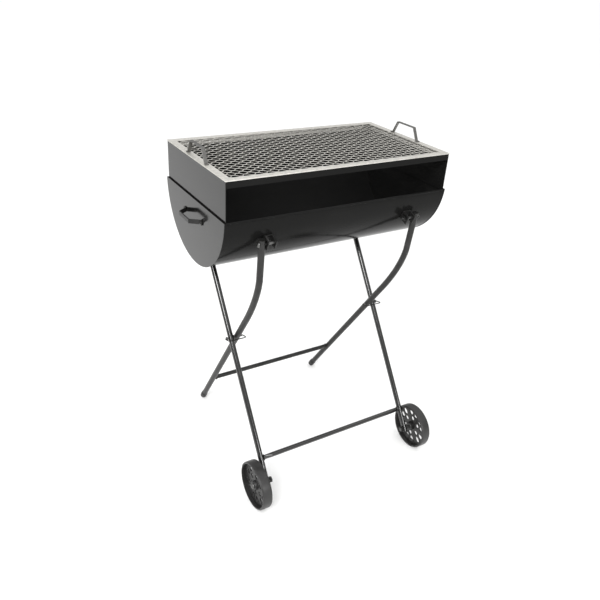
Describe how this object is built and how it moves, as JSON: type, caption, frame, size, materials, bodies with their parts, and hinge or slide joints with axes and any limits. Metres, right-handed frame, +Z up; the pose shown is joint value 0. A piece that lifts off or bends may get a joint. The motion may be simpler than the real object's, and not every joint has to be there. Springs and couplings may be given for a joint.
{
  "type": "barrel charcoal grill",
  "caption": "Half-barrel charcoal grill with a wind guard and lift-off grid, on crossed folding tube legs with a pair of wheels.",
  "frame": {"origin": "middle of the footprint, on the floor", "axes": "+X along the barrel, -Y the open front on the wheel side, +Z up"},
  "size_m": [0.7446, 0.6068, 0.9838],
  "materials": {
    "gloss_black": "glossy black enamel on sheet steel",
    "satin_black": "satin black powder coat on steel",
    "galvanised": "bright zinc coat on steel, slightly warm",
    "zinc": "zinc plated fasteners and wire",
    "black_plastic": "moulded black plastic, satin"
  },
  "bodies": {
    "bowl": {"barrel_shell": "gloss_black", "end_plate_left": "gloss_black", "end_plate_right": "gloss_black", "side_handle_left": "satin_black", "side_handle_right": "satin_black", "handle_rivet_left_front": "satin_black", "handle_rivet_left_back": "satin_black", "handle_rivet_right_front": "satin_black", "handle_rivet_right_back": "satin_black", "front_bracket_left": "satin_black", "front_bracket_right": "satin_black", "rear_bracket_left": "satin_black", "rear_bracket_right": "satin_black", "pivot_bolt_left": "zinc", "pivot_bolt_right": "zinc", "pivot_nut_left": "zinc", "pivot_nut_right": "zinc"},
    "guard": {"guard_side_left": "gloss_black", "guard_side_right": "gloss_black", "guard_back": "gloss_black", "guard_front_rail": "gloss_black", "guard_corner_left_front": "zinc", "guard_corner_left_back": "zinc", "guard_corner_right_front": "zinc", "guard_corner_right_back": "zinc"},
    "grid": {"grid_frame": "galvanised", "grid_mesh": "galvanised", "grid_handle_left": "galvanised", "grid_handle_right": "galvanised"},
    "frame_a": {"leg_a_left": "satin_black", "leg_a_right": "satin_black", "foot_cap_left": "black_plastic", "foot_cap_right": "black_plastic", "crossbar_a": "satin_black", "lock_pin_left": "zinc", "lock_pin_right": "zinc"},
    "frame_b": {"leg_b_left": "satin_black", "leg_b_right": "satin_black", "leg_b_plug_left": "black_plastic", "leg_b_plug_right": "black_plastic", "rear_stud_left": "zinc", "rear_stud_right": "zinc", "axle_bolt_left": "zinc", "axle_bolt_right": "zinc", "axle_nut_left": "zinc", "axle_nut_right": "zinc", "crossing_washer_left": "zinc", "crossing_washer_right": "zinc", "crossbar_b": "satin_black"},
    "wheel_left": {"wheel_left": "black_plastic"},
    "wheel_right": {"wheel_right": "black_plastic"},
    "bail_left": {"lock_bail_left": "zinc"},
    "bail_right": {"lock_bail_right": "zinc"}
  },
  "joints": [
    {"name": "leg_fold", "type": "hinge", "parent": "bowl", "child": "frame_a", "pos_m": [0, -0.13883, 0.775], "axis": [1, 0, 0], "range_deg": [-90, 0]},
    {"name": "scissor_fold", "type": "hinge", "parent": "frame_a", "child": "frame_b", "pos_m": [0, 0.01117, 0.419], "axis": [1, 0, 0], "range_deg": [0, 50]},
    {"name": "wheel_left_spin", "type": "hinge", "parent": "frame_b", "child": "wheel_left", "pos_m": [-0.287, -0.23283, 0.071], "axis": [1, 0, 0], "continuous": true},
    {"name": "wheel_right_spin", "type": "hinge", "parent": "frame_b", "child": "wheel_right", "pos_m": [0.287, -0.23283, 0.071], "axis": [1, 0, 0], "continuous": true},
    {"name": "bail_left_swing", "type": "hinge", "parent": "frame_a", "child": "bail_left", "pos_m": [-0.245, 0.01117, 0.419], "axis": [1, 0, 0], "range_deg": [-8, 35]},
    {"name": "bail_right_swing", "type": "hinge", "parent": "frame_a", "child": "bail_right", "pos_m": [0.245, 0.01117, 0.419], "axis": [1, 0, 0], "range_deg": [-8, 35]},
    {"name": "guard_lift", "type": "slide", "parent": "bowl", "child": "guard", "axis": [0, 0, 1], "range_m": [0, 0.2]},
    {"name": "grid_lift", "type": "slide", "parent": "guard", "child": "grid", "axis": [0, 0, 1], "range_m": [0, 0.2]}
  ],
  "couplings": [
    {"joint": "scissor_fold", "follows": "leg_fold", "ratio": -0.55}
  ]
}
